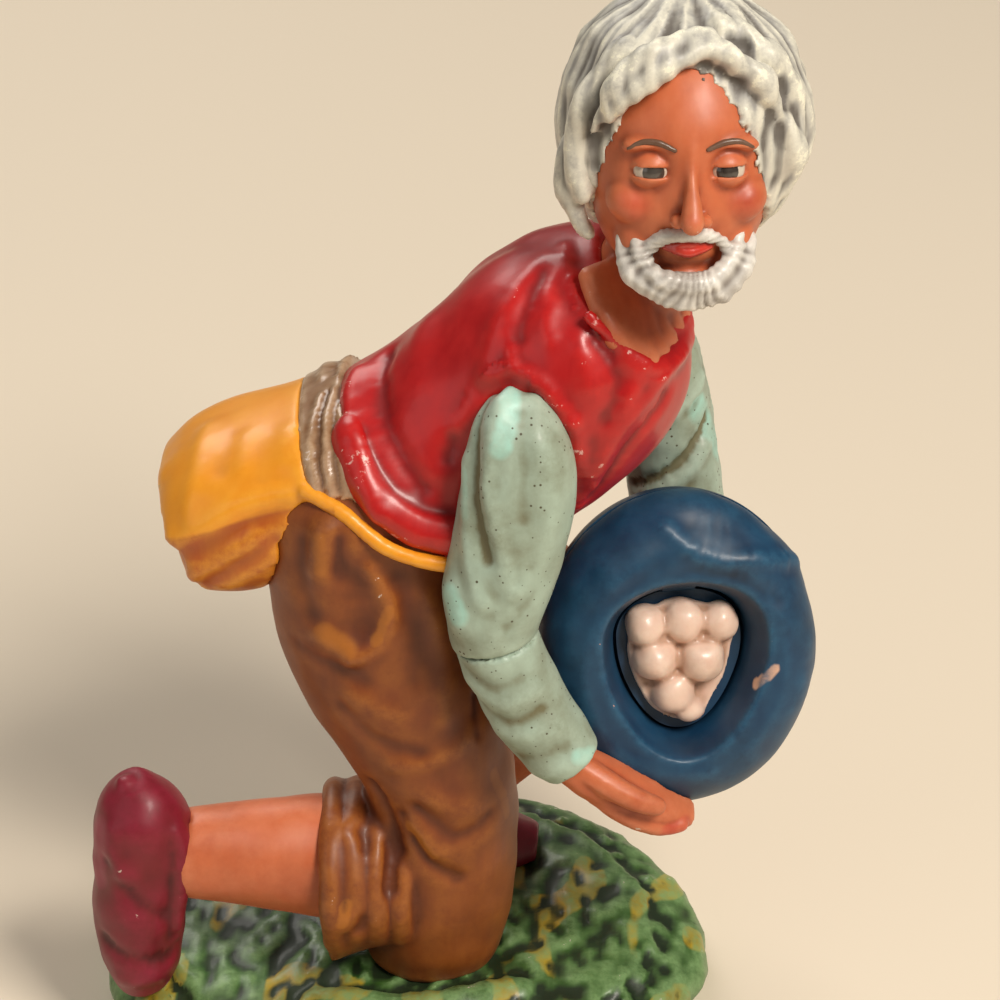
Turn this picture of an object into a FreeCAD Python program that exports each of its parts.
import FreeCAD, Part

import math
import os

import Sketcher
from FreeCAD import Placement, Rotation, Vector

# A kneeling figure that holds a round basin of pebbles, moulded in hard painted plastic, as an
# air-driven ornament for an aquarium.
#
# Air enters a nipple at the back of the base, runs in a thin tube through the kneeling leg, the trunk
# and the left sleeve, and leaves an air stone in the hollow basin. There it lifts a hinged flap that
# carries the pebbles, escapes as bubbles, and the flap falls shut again.
#
# Millimetres, +Z up, +X the way the figure faces, +Y to its left. The origin is the middle of the
# base's underside. Right and left are the figure's own.

document = FreeCAD.newDocument("bubbling_ornament")
sheet = document.addObject("Spreadsheet::Sheet", "Sizes")

# ---------------------------------------------------------------- driving sizes

SIZES = {
    # base
    "base_half_width": 35.0,
    "base_half_depth": 29.0,
    "base_height": 8.5,
    "base_wall": 2.0,
    "base_foot_inset": 1.5,
    "plate_thickness": 1.2,
    "glue_gap": 0.1,
    # basin, in its own frame: out of the mouth, up, and to the side
    "basin_centre_x": 30.2,
    "basin_centre_y": -3.2,
    "basin_centre_z": 49.6,
    "basin_turn": 8.0,
    "basin_tilt": 15.0,
    "basin_half_height": 17.9,
    "basin_half_width": 15.2,
    "basin_front_depth": 6.0,
    "basin_back_depth": 9.6,
    "basin_wall": 1.6,
    "parting_offset": -1.0,
    "throat_half_height": 8.4,
    "throat_half_width": 6.8,
    "throat_taper": 0.28,
    "mouth_flare": 1.7,
    "throat_rise": -0.9,
    "seat_ledge": 0.9,
    # flap and its hinge
    "flap_thickness": 1.2,
    "flap_clearance": 0.35,
    "pebble_backing": 1.0,
    "flap_seat_gap": 0.1,
    "pin_radius": 0.5,
    "pin_length": 8.0,
    "pin_running_gap": 0.06,
    "knuckle_radius": 1.1,
    "knuckle_width": 3.6,
    "knuckle_side_gap": 0.3,
    # air line
    "tube_radius": 1.5,
    "tube_bore_radius": 0.9,
    "duct_gap": 0.35,
    "tube_rise_run": 7.0,
    "tube_stem_run": 6.0,
    "tube_in_stone": 1.4,
    "nipple_radius": 2.0,
    "nipple_shank_radius": 2.2,
    "nipple_shank_proud": 0.4,
    "nipple_bore_radius": 1.1,
    "nipple_reach": 8.0,
    "nipple_height": 4.0,
    "nipple_boss_length": 2.0,
    "nipple_boss_radius": 3.6,
    "nipple_collar_radius": 2.75,
    "nipple_collar_length": 1.4,
    "nipple_chamfer": 0.4,
    "collar_gap": 0.1,
    "seal_thickness": 0.8,
    "tube_socket_depth": 1.8,
    "tube_fit_gap": 0.05,
    "stone_radius": 2.3,
    "stone_back_gap": 0.2,
    "stone_length": 3.6,
    "stem_radius": 3.0,
    "stem_side": 1.6,
    "stem_end_gap": 1.0,
    # plug fits between the moulded pieces
    "spigot_radius": 2.4,
    "spigot_length": 3.4,
    "post_radius": 4.2,
}

# Stations of each limb and garment: centre x, y, z, then half width and half depth of the section.
STATIONS = {
    "right_hip_top": (-4.6, -1.4, 72.4, 8.4, 6.4),
    "right_hip": (-3.6, -3.0, 65.4, 10.6, 9.0),
    "right_thigh_high": (-1.6, -3.8, 51.5, 10.6, 9.0),
    "right_thigh_mid": (1.3, -4.6, 43.0, 9.5, 8.6),
    "right_thigh_low": (4.2, -5.0, 34.0, 8.3, 8.0),
    "right_knee_high": (4.4, -5.0, 25.0, 8.5, 8.0),
    "right_knee": (3.4, -5.0, 16.5, 8.7, 7.8),
    "right_knee_low": (2.4, -5.0, 7.5, 6.8, 6.4),
    "right_cuff_root": (5.0, -5.0, 20.0, 9.6, 7.4),
    "right_cuff_mid": (-2.0, -5.8, 20.4, 8.9, 7.6),
    "right_cuff_edge": (-8.4, -6.6, 20.6, 10.7, 8.6),
    "right_calf_root": (-3.0, -6.0, 22.5, 7.7, 6.6),
    "right_calf_mid": (-14.0, -7.3, 24.1, 6.5, 5.8),
    "right_ankle": (-25.5, -9.0, 25.6, 4.8, 4.4),
    "right_heel_tip": (-29.6, -9.0, 35.6, 1.6, 2.2),
    "right_heel": (-28.6, -9.0, 31.6, 4.9, 4.8),
    "right_instep": (-29.3, -9.2, 22.0, 5.1, 5.4),
    "right_ball": (-29.7, -9.5, 14.0, 4.8, 5.6),
    "right_toe": (-29.2, -9.7, 8.4, 2.6, 3.8),
    "left_hip": (1.0, 8.5, 62.0, 9.4, 8.6),
    "left_thigh_mid": (10.6, 11.2, 52.0, 8.2, 7.8),
    "left_knee_back": (18.6, 13.2, 43.6, 7.3, 7.0),
    "left_knee": (23.6, 14.0, 36.8, 6.6, 6.5),
    "left_cuff_edge": (19.6, 13.6, 30.0, 7.2, 7.0),
    "left_calf_root": (20.8, 13.6, 32.4, 5.5, 5.3),
    "left_calf_mid": (12.6, 12.8, 25.6, 5.2, 5.0),
    "left_ankle": (0.4, 12.6, 14.0, 3.9, 4.0),
    "left_heel": (-7.4, 12.6, 12.0, 4.2, 4.4),
    "left_instep": (0.0, 12.6, 12.4, 5.0, 5.4),
    "left_ball": (9.0, 12.6, 10.4, 5.0, 4.0),
    "left_toe": (15.4, 12.6, 9.4, 2.8, 2.2),
    "seat_back": (-15.4, 3.0, 62.6, 8.2, 5.4),
    "seat_mid": (-9.0, 3.0, 63.4, 10.0, 7.6),
    "seat_front": (-1.6, 3.0, 65.4, 9.6, 8.0),
    "skirt_mid": (-12.2, 2.8, 67.0, 11.6, 8.8),
    "skirt_back": (-17.6, 3.0, 65.0, 11.4, 8.6),
    "skirt_edge": (-22.6, 3.0, 62.6, 10.2, 6.2),
    "sash_low": (-7.2, 2.6, 68.6, 11.8, 9.1),
    "sash_high": (-2.4, 2.6, 70.2, 12.6, 9.9),
    "vest_edge": (2.8, 1.8, 68.8, 12.8, 13.6),
    "vest_waist": (8.4, 2.0, 73.4, 12.2, 13.3),
    "vest_chest": (15.4, 2.2, 80.1, 12.8, 13.4),
    "vest_shoulders": (20.6, 2.6, 86.2, 13.2, 12.2),
    "vest_yoke": (24.0, 2.8, 90.6, 10.6, 8.8),
    "vest_collar": (25.8, 2.4, 92.8, 7.4, 6.4),
    "neck_root": (21.0, 2.4, 86.0, 5.4, 5.2),
    "neck_mid": (25.4, 1.4, 92.8, 5.4, 5.2),
    "neck_top": (28.4, 0.6, 99.5, 5.6, 5.4),
    "right_shoulder": (12.4, -9.6, 85.4, 2.6, 2.4),
    "right_sleeve_high": (13.0, -11.6, 80.4, 5.3, 4.6),
    "right_sleeve_mid": (12.4, -12.6, 72.0, 5.9, 4.9),
    "right_elbow": (10.4, -13.8, 62.4, 5.2, 4.8),
    "right_seam": (10.6, -14.0, 58.4, 4.5, 4.3),
    "right_forearm": (13.0, -14.2, 52.0, 4.4, 4.2),
    "right_wrist": (16.4, -14.6, 46.0, 4.1, 3.9),
    "right_cuff": (18.8, -14.8, 43.0, 3.4, 3.4),
    "right_palm_root": (16.8, -14.6, 44.4, 2.2, 2.0),
    "right_palm": (22.4, -13.8, 39.4, 3.4, 2.4),
    "right_knuckles": (27.0, -12.2, 36.4, 3.8, 2.2),
    "right_fingertips": (31.0, -10.4, 33.6, 3.2, 1.5),
    "left_shoulder": (24.0, 12.4, 82.0, 4.6, 4.2),
    "left_sleeve_high": (27.4, 14.2, 75.0, 5.4, 5.2),
    "left_sleeve_mid": (29.6, 14.6, 66.0, 5.0, 5.2),
    "left_elbow": (30.8, 14.2, 57.0, 5.2, 5.2),
    "left_seam": (31.2, 13.2, 52.6, 4.6, 4.6),
    "left_forearm": (31.8, 11.2, 47.4, 4.6, 4.4),
    "left_cuff": (32.8, 7.6, 41.4, 3.6, 3.6),
    "left_palm_root": (32.6, 8.6, 43.0, 2.2, 2.1),
    "left_palm": (33.2, 4.6, 38.4, 3.6, 2.4),
    "left_fingertips": (33.4, -1.6, 33.8, 3.4, 1.8),
}

# Round bodies: centre x, y, z, then half sizes along X, Y and Z.
BALLS = {
    "skull": (29.0, -0.4, 107.6, 9.4, 10.6, 13.6),
    "hair_mass": (29.4, 3.4, 110.0, 12.9, 12.4, 14.0),
    "beard_mass": (29.4, -6.2, 99.8, 6.6, 5.4, 6.0),
}


# Pebbles on the flap: up it, across it and out of it from the middle of the throat, then the radius.
PEBBLES = {
    "pebble_1": (4.6, -3.8, 2.4, 2.4),
    "pebble_2": (4.8, 0.4, 2.5, 2.5),
    "pebble_3": (4.4, 4.2, 2.3, 2.3),
    "pebble_4": (0.8, -2.8, 2.7, 2.6),
    "pebble_5": (0.4, 2.2, 2.7, 2.7),
    "pebble_6": (-3.2, -0.9, 2.6, 2.5),
    "pebble_7": (-5.4, 0.8, 2.2, 1.9),
}
# half height and half width of the throat that they are laid out for; they follow it when it changes
PEBBLE_THROAT = (8.4, 6.8)


STATION_PARTS = ("x", "y", "z", "wide", "deep")
BALL_PARTS = ("x", "y", "z", "rx", "ry", "rz")
PEBBLE_PARTS = ("up", "side", "out", "radius")


def named(name, parts, numbers):
    """Aliases and values of one station, ball or pebble."""
    return {f"{name}_{part}": value for part, value in zip(parts, numbers)}


def fill_sheet():
    """Write every size into the sheet as a number with an alias."""
    rows = dict(SIZES)
    for name, numbers in STATIONS.items():
        rows.update(named(name, STATION_PARTS, numbers))
    for name, numbers in BALLS.items():
        rows.update(named(name, BALL_PARTS, numbers))
    for name, numbers in PEBBLES.items():
        rows.update(named(name, PEBBLE_PARTS, numbers))
    for row, (alias, value) in enumerate(rows.items(), start=1):
        sheet.set(f"A{row}", alias)
        sheet.set(f"B{row}", str(value))
        sheet.setAlias(f"B{row}", alias)
    document.recompute()


def size(alias):
    """A size from the sheet."""
    return float(getattr(sheet, alias))


def point(name):
    """The centre of a station or round body."""
    return Vector(size(name + "_x"), size(name + "_y"), size(name + "_z"))


# ---------------------------------------------------------------- building blocks

WIDE_X, WIDE_Y, WIDE_Z = Vector(1, 0, 0), Vector(0, 1, 0), Vector(0, 0, 1)
OVAL, BOXY = 2.0, 2.5
RING_POINTS = 12


def ring(centre, normal, across, wide, deep, power):
    """A closed smooth section: an oval, or a boxier one as power grows."""
    normal = Vector(normal).normalize()
    wide_axis = (across - normal * across.dot(normal)).normalize()
    deep_axis = normal.cross(wide_axis)
    points = []
    for step in range(RING_POINTS):
        angle = 2 * math.pi * step / RING_POINTS
        c, s = math.cos(angle), math.sin(angle)
        along = math.copysign(abs(c) ** (2 / power), c) * wide
        over = math.copysign(abs(s) ** (2 / power), s) * deep
        points.append(centre + wide_axis * along + deep_axis * over)
    curve = Part.BSplineCurve()
    curve.interpolate(Points=points, PeriodicFlag=True)
    return Part.Wire([curve.toShape()])


def feature(name, shape):
    """A Part::Feature that holds a shape made here from the sheet's sizes."""
    made = document.addObject("Part::Feature", name)
    made.Shape = shape
    return made


def limb(name, stations, across, power=OVAL, first=None, last=None):
    """A solid lofted through stations, each section square to the limb's run."""
    centres = [point(station) for station in stations]
    wires = []
    for i, (station, centre) in enumerate(zip(stations, centres)):
        before, after = centres[max(i - 1, 0)], centres[min(i + 1, len(centres) - 1)]
        normal = after - before
        if i == 0 and first is not None:
            normal = first
        if i == len(centres) - 1 and last is not None:
            normal = last
        wires.append(ring(centre, normal, across, size(station + "_wide"), size(station + "_deep"), power))
    return feature(name, Part.makeLoft(wires, True, False))


def ball(name, alias):
    """An ellipsoid whose three half sizes are bound to the sheet."""
    made = document.addObject("Part::Ellipsoid", name)
    made.setExpression("Radius1", f"Sizes.{alias}_rz")
    made.setExpression("Radius2", f"Sizes.{alias}_rx")
    made.setExpression("Radius3", f"Sizes.{alias}_ry")
    made.Angle1, made.Angle2 = -90, 90
    made.Placement = Placement(point(alias), Rotation())
    return made


def fuse(name, *pieces):
    """Several blanks joined into one solid."""
    made = document.addObject("Part::MultiFuse", name)
    made.Shapes = list(pieces)
    return made


def cut(name, base, *tools):
    """A blank with every tool taken out of it, one after another."""
    for number, tool in enumerate(tools):
        made = document.addObject("Part::Cut", name if number == len(tools) - 1 else f"{name}_cut_{number}")
        made.Base, made.Tool = base, tool
        base = made
    return base


def oval_section(name, half_x, half_y, place):
    """An ellipse whose radii are expressions; half_x must be the larger."""
    made = document.addObject("Part::Ellipse", name)
    made.setExpression("MajorRadius", half_x)
    made.setExpression("MinorRadius", half_y)
    made.Placement = place
    return made


def oval_loft(name, sections):
    """A solid lofted through Part::Ellipse sections, given as (major, minor, placement)."""
    made = document.addObject("Part::Loft", name)
    made.Sections = [oval_section(f"{name}_section_{i}", *section) for i, section in enumerate(sections)]
    made.Solid = True
    made.Ruled = False
    return made


def origin_plane(body, role):
    """One of a body's own origin planes."""
    return next(item for item in body.Origin.OriginFeatures if item.Role == role)


def turned(name, profile):
    """A body turned about its own Z axis from (radius, height) corners given as expressions."""
    body = document.addObject("PartDesign::Body", name)
    sketch = body.newObject("Sketcher::SketchObject", name + "_profile")
    sketch.AttachmentSupport = (origin_plane(body, "XZ_Plane"), [""])
    sketch.MapMode = "FlatFace"
    corners = [Vector(*(float(sketch.evalExpression(part)) for part in corner), 0) for corner in profile]
    count = len(corners)
    for i in range(count):
        sketch.addGeometry(Part.LineSegment(corners[i], corners[(i + 1) % count]), False)
    for i in range(count):
        sketch.addConstraint(Sketcher.Constraint("Coincident", i, 2, (i + 1) % count, 1))
    for i, (radius, height) in enumerate(profile):
        for kind, expression in (("DistanceX", radius), ("DistanceY", height)):
            start = corners[i].x if kind == "DistanceX" else corners[i].y
            index = sketch.addConstraint(Sketcher.Constraint(kind, -1, 1, i, 1, start))
            sketch.setExpression(f"Constraints[{index}]", expression)
    revolution = body.newObject("PartDesign::Revolution", name + "_revolution")
    revolution.Profile = sketch
    revolution.ReferenceAxis = (sketch, ["V_Axis"])
    revolution.Angle = 360
    return body


ARC_SHARE = 0.45


def rounded_path(points):
    """Straight runs joined by tangent arcs, each as large as its two runs allow."""
    edges, start, radii = [], points[0], []
    for before, corner, after in zip(points, points[1:], points[2:]):
        back = before - corner
        on = after - corner
        shorter = min(back.Length, on.Length)
        back.normalize()
        on.normalize()
        half_turn = (math.pi - back.getAngle(on)) / 2
        reach = ARC_SHARE * shorter
        radii.append(reach / math.tan(half_turn))
        centre_way = (back + on).normalize()
        middle = corner + centre_way * (radii[-1] * (1 / math.cos(half_turn) - 1))
        first, last = corner + back * reach, corner + on * reach
        edges.append(Part.LineSegment(start, first).toShape())
        edges.append(Part.Arc(first, middle, last).toShape())
        start = last
    edges.append(Part.LineSegment(start, points[-1]).toShape())
    return Part.Wire(edges), radii


def swept_round(name, points, radius):
    """A round bar along a rounded path."""
    path, radii = rounded_path(points)
    circle = Part.Circle(points[0], points[1] - points[0], radius).toShape()
    made = feature(name, path.makePipeShell([Part.Wire([circle])], True, False))
    share = made.Shape.Volume / (math.pi * radius ** 2 * path.Length)
    print(f"{name}: length {path.Length:.1f}, volume share {share:.3f}, radii",
          [round(value, 1) for value in radii])
    return made


# ---------------------------------------------------------------- base

BASE_LEVELS = ((0.0, 1.5), (0.18, 0.4), (0.42, 0.0), (0.72, 1.6), (1.0, 6.5))
ROOM_LEVELS = ((0.0, 0.0), (0.5, 0.0), (1.0, 3.0))


def make_base():
    """The grass mound with its hollow, the boss behind the air inlet, and the plate that closes it."""
    outer = oval_loft("mound_outer", [
        (f"Sizes.base_half_width - {inset}", f"Sizes.base_half_depth - {inset}",
         Placement(Vector(0, 0, size("base_height") * share), Rotation()))
        for share, inset in BASE_LEVELS])
    room_inset = "(Sizes.base_wall + Sizes.base_foot_inset)"
    room_top = size("base_height") - size("base_wall")
    room_blank = oval_loft("mound_room_blank", [
        (f"Sizes.base_half_width - {room_inset} - {inset}", f"Sizes.base_half_depth - {room_inset} - {inset}",
         Placement(Vector(0, 0, room_top * share), Rotation()))
        for share, inset in ROOM_LEVELS])
    boss = document.addObject("Part::Cylinder", "inlet_boss")
    boss.setExpression("Radius", "Sizes.nipple_boss_radius")
    boss.setExpression("Height", "Sizes.nipple_boss_length + Sizes.base_wall + Sizes.base_foot_inset")
    boss.Placement = inlet_place(-size("nipple_boss_length"))
    room = cut("mound_room", room_blank, boss)

    plate_inset = f"({room_inset} + Sizes.glue_gap)"
    outline = oval_section("plate_outline", f"Sizes.base_half_width - {plate_inset}",
                           f"Sizes.base_half_depth - {plate_inset}", Placement())
    plate_blank = document.addObject("Part::Extrusion", "plate_blank")
    plate_blank.Base = outline
    plate_blank.DirMode = "Custom"
    plate_blank.Dir = Vector(0, 0, 1)
    plate_blank.Solid = True
    plate_blank.setExpression("LengthFwd", "Sizes.plate_thickness")
    return outer, room, cut("base_plate", plate_blank, boss)


def inlet_place(offset):
    """Placement on the air inlet's axis, which points out of the base's far side; 0 is the inner wall."""
    wall = size("base_half_depth") - size("base_wall") - size("base_foot_inset")
    start = Vector(point("right_knee").x, wall + offset, size("nipple_height"))
    return Placement(start, Rotation(Vector(0, 0, 1), Vector(0, 1, 0)))


# ---------------------------------------------------------------- basin

# shares of the depth and of the half sizes at each section, from the parting plane outward
FRONT_LEVELS = ((0.3, 0.985), (0.68, 0.91), (1.0, 0.72))
BACK_LEVELS = ((0.45, 0.94), (0.8, 0.8), (1.0, 0.62))
PARTING_SHARE = 0.99
ROOM_MIDDLE = (0.45, 0.93)
ROOM_END_SHARE = 0.72
SHIELD_POWER = 0.8
# depth of the throat's sections in flap thicknesses or front depths, and their share of the mouth's flare
THROAT_STRAIGHT = 1.5
THROAT_MIDDLE = (0.65, 0.45)
THROAT_END_FLARE = 1.4


def basin_axes():
    """Unit vectors out of the basin's mouth, up its face and across it."""
    turn, tilt = math.radians(size("basin_turn")), math.radians(size("basin_tilt"))
    out = Vector(math.sin(turn) * math.cos(tilt), -math.cos(turn) * math.cos(tilt), math.sin(tilt))
    side = Vector(math.cos(turn), math.sin(turn), 0)
    return out, out.cross(side), side


def basin_place(offset, up=0.0, side=0.0):
    """Placement in the basin's frame, whose X runs up its face and whose Z points out of its mouth."""
    out, rise, across = basin_axes()
    centre = point("basin_centre") + out * offset + rise * up + across * side
    return Placement(centre, Rotation(rise, out.cross(rise), out, "ZXY"))


def basin_loft(name, profile):
    """A loft along the basin's axis through oval (offset, half height, half width) sections."""
    if size("basin_half_height") >= size("basin_half_width"):
        return oval_loft(name, [(high, wide, basin_place(offset)) for offset, high, wide in profile])
    quarter = Placement(Vector(), Rotation(Vector(0, 0, 1), 90))
    return oval_loft(name, [(wide, high, basin_place(offset).multiply(quarter)) for offset, high, wide in profile])


def basin_sections(shares, inset="0"):
    """Sections of the basin's outside, or of a skin inset from it."""
    high = "Sizes.basin_half_height"
    wide = "Sizes.basin_half_width"
    return [(offset, f"{high} * {share} - {inset}", f"{wide} * {share} - {inset}") for offset, share in shares]


def shield(offset, half_height, half_width):
    """A closed outline across the basin's axis, flat at the top and narrow at the bottom."""
    place = basin_place(offset, size("throat_rise"))
    points = []
    for step in range(RING_POINTS):
        angle = 2 * math.pi * (step + 0.5) / RING_POINTS
        up = math.copysign(abs(math.sin(angle)) ** SHIELD_POWER, math.sin(angle))
        across = math.cos(angle) * (1 + size("throat_taper") * up)
        points.append(place.multVec(Vector(half_height * up, half_width * across, 0)))
    curve = Part.BSplineCurve()
    curve.interpolate(Points=points, PeriodicFlag=True)
    return Part.Wire([curve.toShape()])


def shield_loft(name, profile):
    """A solid lofted through shield outlines, given as (offset, growth of both half sizes)."""
    high, wide = size("throat_half_height"), size("throat_half_width")
    wires = [shield(offset, high + growth, wide + growth) for offset, growth in profile]
    return feature(name, Part.makeLoft(wires, True, len(profile) == 2))


def hinge_bar(name, radius, length, width):
    """A cylinder on the flap's hinge line, centred in width."""
    made = document.addObject("Part::Cylinder", name)
    made.setExpression("Radius", radius)
    made.setExpression("Height", length)
    start = basin_place(size("knuckle_radius") + size("flap_seat_gap"), hinge_height(), -width / 2).Base
    made.Placement = Placement(start, Rotation(Vector(0, 0, 1), basin_axes()[2]))
    return made


def hinge_height():
    """How far the hinge line is above the basin's axis."""
    return size("throat_rise") + size("throat_half_height") + size("pin_radius")


def make_basin():
    """Front ring, hollow back, the flap with its knuckle, and its pin."""
    front = size("basin_front_depth")
    back = size("basin_back_depth")
    wall = size("basin_wall")
    plate = size("flap_thickness")
    gap = size("flap_clearance")
    flare = size("mouth_flare")
    parting = (size("parting_offset"), PARTING_SHARE)
    front_blank = basin_loft("basin_front_blank", basin_sections(
        [parting, *((front * depth, share) for depth, share in FRONT_LEVELS)]))
    back_blank = basin_loft("basin_back_blank", basin_sections(
        [parting, *((-back * depth, share) for depth, share in BACK_LEVELS)]))
    room_middle = (-back * ROOM_MIDDLE[0], ROOM_MIDDLE[1])
    room = basin_loft("basin_room", basin_sections(
        [parting, room_middle, (wall - back, ROOM_END_SHARE)], "Sizes.basin_wall"))

    ledge = -size("seat_ledge")
    rear_throat = shield_loft("basin_rear_throat", [(parting[0] - wall, ledge), (wall, ledge)])
    front_throat = shield_loft("basin_front_throat", [
        (0, 0), (plate * THROAT_STRAIGHT, 0), (front * THROAT_MIDDLE[0], flare * THROAT_MIDDLE[1]),
        (front + wall, flare * THROAT_END_FLARE)])
    knuckle_space = size("knuckle_width") + 2 * size("knuckle_side_gap")
    slot = hinge_bar("knuckle_slot", "Sizes.knuckle_radius + Sizes.flap_clearance",
                     "Sizes.knuckle_width + 2 * Sizes.knuckle_side_gap", knuckle_space)
    pin = hinge_bar("flap_pin", "Sizes.pin_radius", "Sizes.pin_length", size("pin_length"))
    pin_hole = hinge_bar("flap_pin_hole", "Sizes.pin_radius + Sizes.pin_running_gap",
                         "Sizes.knuckle_width + 2 * Sizes.knuckle_side_gap", knuckle_space)
    knuckle = hinge_bar("flap_knuckle", "Sizes.knuckle_radius", "Sizes.knuckle_width", size("knuckle_width"))

    seat_gap = size("flap_seat_gap")
    flap_plate = shield_loft("flap_plate", [(seat_gap, -gap), (seat_gap + plate, -gap)])
    web = document.addObject("Part::Box", "flap_web")
    web.setExpression("Length", "Sizes.pin_radius + Sizes.flap_clearance + 2 * Sizes.knuckle_radius")
    web.setExpression("Width", "Sizes.knuckle_width")
    web.setExpression("Height", "Sizes.flap_thickness")
    web_foot = hinge_height() - size("pin_radius") - gap - 2 * size("knuckle_radius")
    web.Placement = basin_place(seat_gap, web_foot, size("knuckle_width") / 2)
    flap = cut("pebble_flap", fuse("flap_joined", flap_plate, knuckle, web), pin_hole)
    ring = cut("basin_front", front_blank, rear_throat, front_throat, slot, pin)
    nodes = {"basin_front": ring, "pebble_flap": flap, "flap_pin": pin}
    return nodes, fuse("basin_blank", front_blank, back_blank), back_blank, room


def make_pebbles():
    """Rounded pebbles moulded in one piece that sits on the flap."""
    pieces = []
    tall = size("throat_half_height") / PEBBLE_THROAT[0]
    broad = size("throat_half_width") / PEBBLE_THROAT[1]
    round_scale = min(tall, broad)
    for name in PEBBLES:
        made = document.addObject("Part::Sphere", name)
        made.setExpression("Radius", f"Sizes.{name}_radius * {round_scale}")
        made.Placement = basin_place(size(name + "_out") * round_scale,
                                     size(name + "_up") * tall + size("throat_rise"), size(name + "_side") * broad)
        pieces.append(made)
    flap_face = size("flap_seat_gap") + size("flap_thickness")
    edge = -size("flap_clearance") - size("pebble_backing")
    backing = shield_loft("pebble_backing", [(flap_face, edge), (flap_face + size("pebble_backing"), edge)])
    heap = fuse("pebble_heap", backing, *pieces)
    floor = document.addObject("Part::Cylinder", "pebble_floor")
    floor.setExpression("Radius", "Sizes.basin_half_height")
    floor.setExpression("Height", "Sizes.basin_half_height")
    floor.Placement = basin_place(flap_face - size("basin_half_height"))
    return cut("pebbles", heap, floor)


# ---------------------------------------------------------------- air line


def nipple_start():
    """Where the nipple's inner end is, on the inlet's axis."""
    return -size("nipple_boss_length") - size("seal_thickness") - size("nipple_collar_length")


# how far the tube runs aside from the middle of the limb it is in
TUBE_ASIDE = {
    "seat_front": (1.6, 0.2, 1.2),
    "vest_waist": (1.5, 1.0, 1.0),
    "vest_shoulders": (0.5, 7.4, -5.0),
    "left_sleeve_high": (0.6, 0.0, -1.0),
    "left_elbow": (-1.0, 0.0, 0.5),
}


def air_route():
    """Corner points of the tube, from the nipple in the base to the stone in the basin."""
    low = size("nipple_height")
    rise = size("tube_rise_run")
    knee = point("right_knee")
    back = -size("basin_back_depth")
    along = basin_place(back - size("tube_stem_run"), 0, size("stem_side")).Base
    inside = basin_place(back + size("basin_wall") + size("tube_in_stone"), 0, size("stem_side")).Base
    return [
        inlet_place(nipple_start() + size("tube_socket_depth")).Base,
        Vector(knee.x, knee.y + rise, low),
        Vector(knee.x, knee.y, low + rise),
        point("right_thigh_low"),
        point("right_thigh_high"),
        *(point(place) + Vector(*aside) for place, aside in TUBE_ASIDE.items()),
        along,
        inside,
    ]


def make_air_line():
    """The tube with its through bore, the duct it runs in, the stone, the nipple and its seal."""
    route = air_route()
    tube_blank = swept_round("air_tube_blank", route, size("tube_radius"))
    tube_bore = swept_round("air_tube_bore", route, size("tube_bore_radius"))
    duct = swept_round("air_duct", route, size("tube_radius") + size("duct_gap"))
    tube = cut("air_tube", tube_blank, tube_bore)

    stone_blank = document.addObject("Part::Cylinder", "air_stone_blank")
    stone_blank.setExpression("Radius", "Sizes.stone_radius")
    stone_blank.setExpression("Height", "Sizes.stone_length")
    stone_start = -size("basin_back_depth") + size("basin_wall") + size("stone_back_gap")
    stone_blank.Placement = basin_place(stone_start, 0, size("stem_side"))
    stone = cut("air_stone", stone_blank, tube_blank)

    nipple_end = ("Sizes.nipple_collar_length + Sizes.seal_thickness + Sizes.nipple_boss_length"
                  " + Sizes.base_wall + Sizes.base_foot_inset + Sizes.nipple_reach")
    shoulder = f"{nipple_end} - Sizes.nipple_reach + Sizes.nipple_shank_proud"
    nipple = turned("air_inlet", [
        ("Sizes.tube_radius + Sizes.tube_fit_gap", "0"),
        ("Sizes.nipple_collar_radius", "0"),
        ("Sizes.nipple_collar_radius", "Sizes.nipple_collar_length"),
        ("Sizes.nipple_shank_radius", "Sizes.nipple_collar_length"),
        ("Sizes.nipple_shank_radius", shoulder),
        ("Sizes.nipple_radius", shoulder),
        ("Sizes.nipple_radius", f"{nipple_end} - Sizes.nipple_chamfer"),
        ("Sizes.nipple_radius - Sizes.nipple_chamfer", nipple_end),
        ("Sizes.nipple_bore_radius", nipple_end),
        ("Sizes.nipple_bore_radius", "Sizes.tube_socket_depth"),
        ("Sizes.tube_radius + Sizes.tube_fit_gap", "Sizes.tube_socket_depth"),
    ])
    nipple.Placement = inlet_place(nipple_start())
    return route, tube, duct, stone, nipple, tube_blank


# ---------------------------------------------------------------- legs


def waist_way():
    """Unit vector along the trunk where the vest's hem is."""
    return (point("vest_waist") - point("vest_edge")).normalize()


def make_waist_block():
    """Everything above the plane of the vest's hem, to trim the lower body with."""
    reach = size("base_half_width")
    block = document.addObject("Part::Box", "above_waist")
    block.Length = block.Width = block.Height = 2 * reach
    turn = Rotation(Vector(0, 0, 1), waist_way())
    block.Placement = Placement(point("vest_edge") - turn.multVec(Vector(reach, reach, 0)), turn)
    return block


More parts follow.
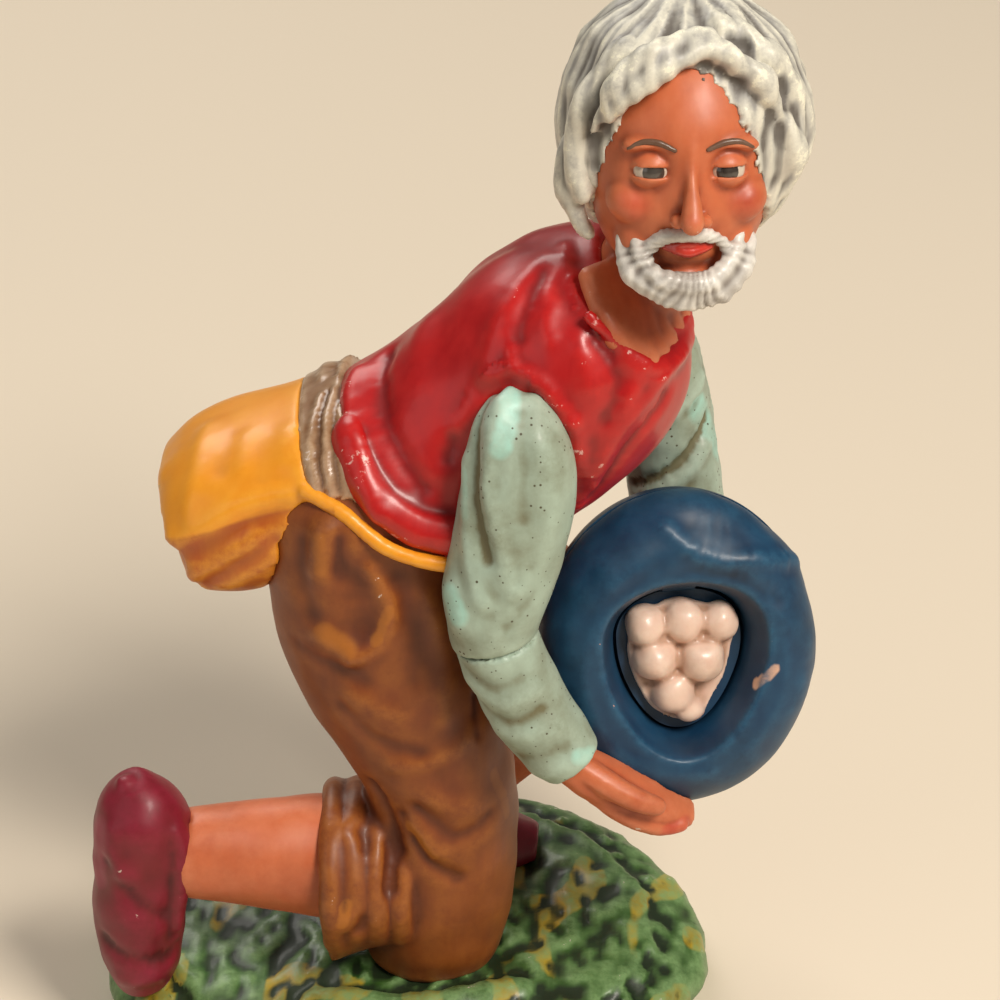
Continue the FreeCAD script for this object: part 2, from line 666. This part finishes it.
def make_legs(mound, basin, duct, above_waist):
    """Shoes, calves and trouser legs, each cut by whatever it stands on or plugs into."""
    right_shoe_blank = limb("right_shoe_blank",
                            ["right_heel_tip", "right_heel", "right_instep", "right_ball", "right_toe"], WIDE_X)
    right_calf_blank = limb("right_calf_blank", ["right_calf_root", "right_calf_mid", "right_ankle"], WIDE_Z)
    right_thigh = cut("right_thigh_blank", limb("right_thigh_whole", [
        "right_hip_top", "right_hip", "right_thigh_high", "right_thigh_mid", "right_thigh_low",
        "right_knee_high", "right_knee", "right_knee_low"], WIDE_X), above_waist)
    right_cuff = limb("right_cuff_blank", ["right_cuff_root", "right_cuff_mid", "right_cuff_edge"], WIDE_Z)
    left_shoe_blank = limb("left_shoe_blank", ["left_heel", "left_instep", "left_ball", "left_toe"], WIDE_Y)
    left_calf_blank = limb("left_calf_blank", ["left_calf_root", "left_calf_mid", "left_ankle"], WIDE_Y)
    left_thigh = cut("left_thigh_blank", limb("left_thigh_whole", [
        "left_hip", "left_thigh_mid", "left_knee_back", "left_knee", "left_cuff_edge"], WIDE_Y), above_waist)
    return {
        "right_thigh": right_thigh,
        "left_thigh": left_thigh,
        "right_shoe": cut("right_shoe", right_shoe_blank, mound),
        "right_calf": cut("right_calf", right_calf_blank, right_shoe_blank, mound),
        "right_trouser_leg": cut("right_trouser_leg", fuse("right_trouser_blank", right_thigh, right_cuff),
                                 right_calf_blank, mound, duct),
        "left_shoe": cut("left_shoe", left_shoe_blank, mound),
        "left_calf": cut("left_calf", left_calf_blank, left_shoe_blank, mound),
        "left_trouser_leg": cut("left_trouser_leg", left_thigh, left_calf_blank, right_thigh, basin, duct),
    }


# ---------------------------------------------------------------- trunk and arms


def plug(name, start, toward, radius, length):
    """A round peg from a point toward another, as long as asked."""
    made = document.addObject("Part::Cylinder", name)
    made.setExpression("Radius", radius)
    made.Height = length
    made.Placement = Placement(start, Rotation(Vector(0, 0, 1), toward - start))
    return made


UPPER_ARM = ("shoulder", "sleeve_high", "sleeve_mid", "elbow", "seam")
SEAM_NORMALS = {"right": Vector(0.25, -0.1, -0.96), "left": Vector(0.1, -0.35, -0.93)}
CUFFS = {"right": ("wrist", "cuff"), "left": ("cuff",)}
HANDS = {
    "right": ["right_palm_root", "right_palm", "right_knuckles", "right_fingertips"],
    "left": ["left_palm_root", "left_palm", "left_fingertips"],
}


def make_arms(basin, duct):
    """Upper sleeves, forearm sleeves that plug into them, and hands that plug into the cuffs."""
    made = {}
    for side, seam_normal in SEAM_NORMALS.items():
        upper = limb(f"{side}_upper_sleeve_blank", [f"{side}_{part}" for part in UPPER_ARM], WIDE_X,
                     last=seam_normal)
        forearm = limb(f"{side}_forearm_blank", [f"{side}_{part}" for part in ("seam", "forearm", *CUFFS[side])],
                       WIDE_X, first=seam_normal)
        seam = point(f"{side}_seam")
        peg_start = seam - seam_normal * size("spigot_length")
        peg = plug(f"{side}_forearm_peg", peg_start, point(f"{side}_forearm"), "Sizes.spigot_radius",
                   size("spigot_length") * 2)
        hand = limb(f"{side}_hand_blank", HANDS[side], WIDE_X if side == "left" else WIDE_Y)
        joined = fuse(f"{side}_forearm_joined", forearm, peg)
        made[f"{side}_upper_blank"] = upper
        made[f"{side}_upper_sleeve"] = cut(f"{side}_upper_sleeve", upper, joined, basin, duct)
        made[f"{side}_forearm_sleeve"] = cut(f"{side}_forearm_sleeve", joined, hand, basin, duct)
        made[f"{side}_hand"] = cut(f"{side}_hand", hand, basin, duct)
    return made


def make_trunk(legs, arms, basin, duct, above_waist):
    """Seat with its post, skirt, sash and vest, stacked on the post."""
    seat_whole = limb("seat_whole", ["seat_back", "seat_mid", "seat_front"], WIDE_Y)
    seat = cut("seat_blank", seat_whole, above_waist)
    post_run = point("vest_waist") - point("seat_mid")
    post = plug("waist_post", point("seat_mid"), point("vest_waist"), "Sizes.post_radius",
                post_run.Length + size("spigot_length"))
    skirt_blank = limb("skirt_blank", ["sash_low", "skirt_mid", "skirt_back", "skirt_edge"], WIDE_Y, BOXY,
                       first=point("sash_low") - point("sash_high"))
    sash_blank = limb("sash_blank", ["sash_low", "sash_high"], WIDE_Y, BOXY)
    vest_blank = limb("vest_blank", [
        "vest_edge", "vest_waist", "vest_chest", "vest_shoulders", "vest_yoke", "vest_collar"], WIDE_Y,
        first=waist_way())
    neck_blank = limb("neck_blank", ["neck_root", "neck_mid", "neck_top"], WIDE_Y)
    thighs = (legs["right_thigh"], legs["left_thigh"])
    uppers = (arms["right_upper_blank"], arms["left_upper_blank"])
    return neck_blank, {
        "trouser_seat": cut("trouser_seat", fuse("seat_and_post", seat, post), *thighs, duct),
        "tunic_skirt": cut("tunic_skirt", skirt_blank, *thighs, seat, post, duct),
        "waist_sash": cut("waist_sash", sash_blank, above_waist, *thighs, seat, post, duct),
        "vest": cut("vest", vest_blank, neck_blank, *uppers, basin, post, duct),
        "neck": cut("neck", neck_blank, duct),
    }


def make_head(neck):
    """Head, the hair that wraps its back and top, and the beard under its chin."""
    skull = ball("skull_blank", "skull")
    hair = ball("hair_blank", "hair_mass")
    beard = ball("beard_blank", "beard_mass")
    return {
        "head": cut("head", skull, neck),
        "hair": cut("hair", hair, skull, neck),
        "beard": cut("beard", beard, skull, neck),
    }


# ---------------------------------------------------------------- the whole ornament


def make_ornament():
    """Every node by name."""
    mound, room, base_plate = make_base()
    basin_nodes, basin_blank, back_blank, back_room = make_basin()
    route, tube, duct, stone, nipple, tube_blank = make_air_line()
    above_waist = make_waist_block()
    legs = make_legs(mound, basin_blank, duct, above_waist)
    arms = make_arms(basin_blank, duct)
    neck_blank, trunk = make_trunk(legs, arms, basin_blank, duct, above_waist)

    stem_start = basin_place(size("basin_wall") - size("basin_back_depth"), 0, size("stem_side")).Base
    stem_length = (route[-2] - stem_start).Length - size("stem_end_gap")
    stem = plug("basin_stem", stem_start, route[-2], "Sizes.stem_radius", stem_length)
    back_joined = fuse("basin_back_joined", back_blank, stem)
    seal_blank = document.addObject("Part::Cylinder", "inlet_seal_blank")
    seal_blank.setExpression("Radius", "Sizes.nipple_collar_radius")
    seal_blank.setExpression("Height", "Sizes.seal_thickness")
    seal_blank.Placement = inlet_place(-size("nipple_boss_length") - size("seal_thickness"))
    shank = document.addObject("Part::Cylinder", "inlet_shank")
    shank.setExpression("Radius", "Sizes.nipple_shank_radius")
    shank.setExpression("Height", "Sizes.nipple_reach + Sizes.nipple_boss_length + Sizes.base_wall"
                        " + Sizes.base_foot_inset")
    shank.Placement = inlet_place(-size("nipple_boss_length") - size("seal_thickness"))

    collar_space = document.addObject("Part::Cylinder", "inlet_collar_space")
    collar_space.setExpression("Radius", "Sizes.nipple_collar_radius + Sizes.collar_gap")
    collar_space.setExpression("Height", "Sizes.nipple_collar_length + Sizes.seal_thickness + Sizes.collar_gap")
    collar_space.Placement = inlet_place(nipple_start() - size("collar_gap"))

    nodes = {
        "base_mound": cut("base_mound", mound, room, collar_space, shank, duct),
        "base_plate": base_plate,
        "air_inlet": nipple,
        "inlet_seal": cut("inlet_seal", seal_blank, shank),
        "air_tube": tube,
        "air_stone": stone,
        "basin_back": cut("basin_back", back_joined, back_room, duct),
        "pebbles": make_pebbles(),
    }
    nodes.update(basin_nodes)
    nodes.update({name: item for name, item in legs.items() if not name.endswith("thigh")})
    nodes.update({name: item for name, item in arms.items() if not name.endswith("blank")})
    nodes["left_forearm_sleeve"] = cut("left_forearm_on_stem", arms["left_forearm_sleeve"], stem)
    nodes.update(trunk)
    nodes.update(make_head(neck_blank))
    return nodes


def check(nodes):
    """Stop if any object failed or any node isn't sound solid."""
    for item in document.Objects:
        bad = {"Invalid", "Error"} & set(item.State)
        if bad:
            raise RuntimeError(f"{item.Name}: {bad}")
    for name, item in nodes.items():
        if item.Shape.isNull() or not item.Shape.isValid() or not item.Shape.Solids:
            raise RuntimeError(f"{name} has no sound solid")


def export(nodes):
    """Write each node to its own STEP file."""
    os.makedirs("parts", exist_ok=True)
    for name, item in sorted(nodes.items()):
        item.Label = name
        print(f"{name}: {len(item.Shape.Solids)} solid(s), {item.Shape.Volume:.1f} mm3")
        item.Shape.exportStep(f"parts/{name}.step")


fill_sheet()
ornament = make_ornament()
document.recompute()
check(ornament)
export(ornament)
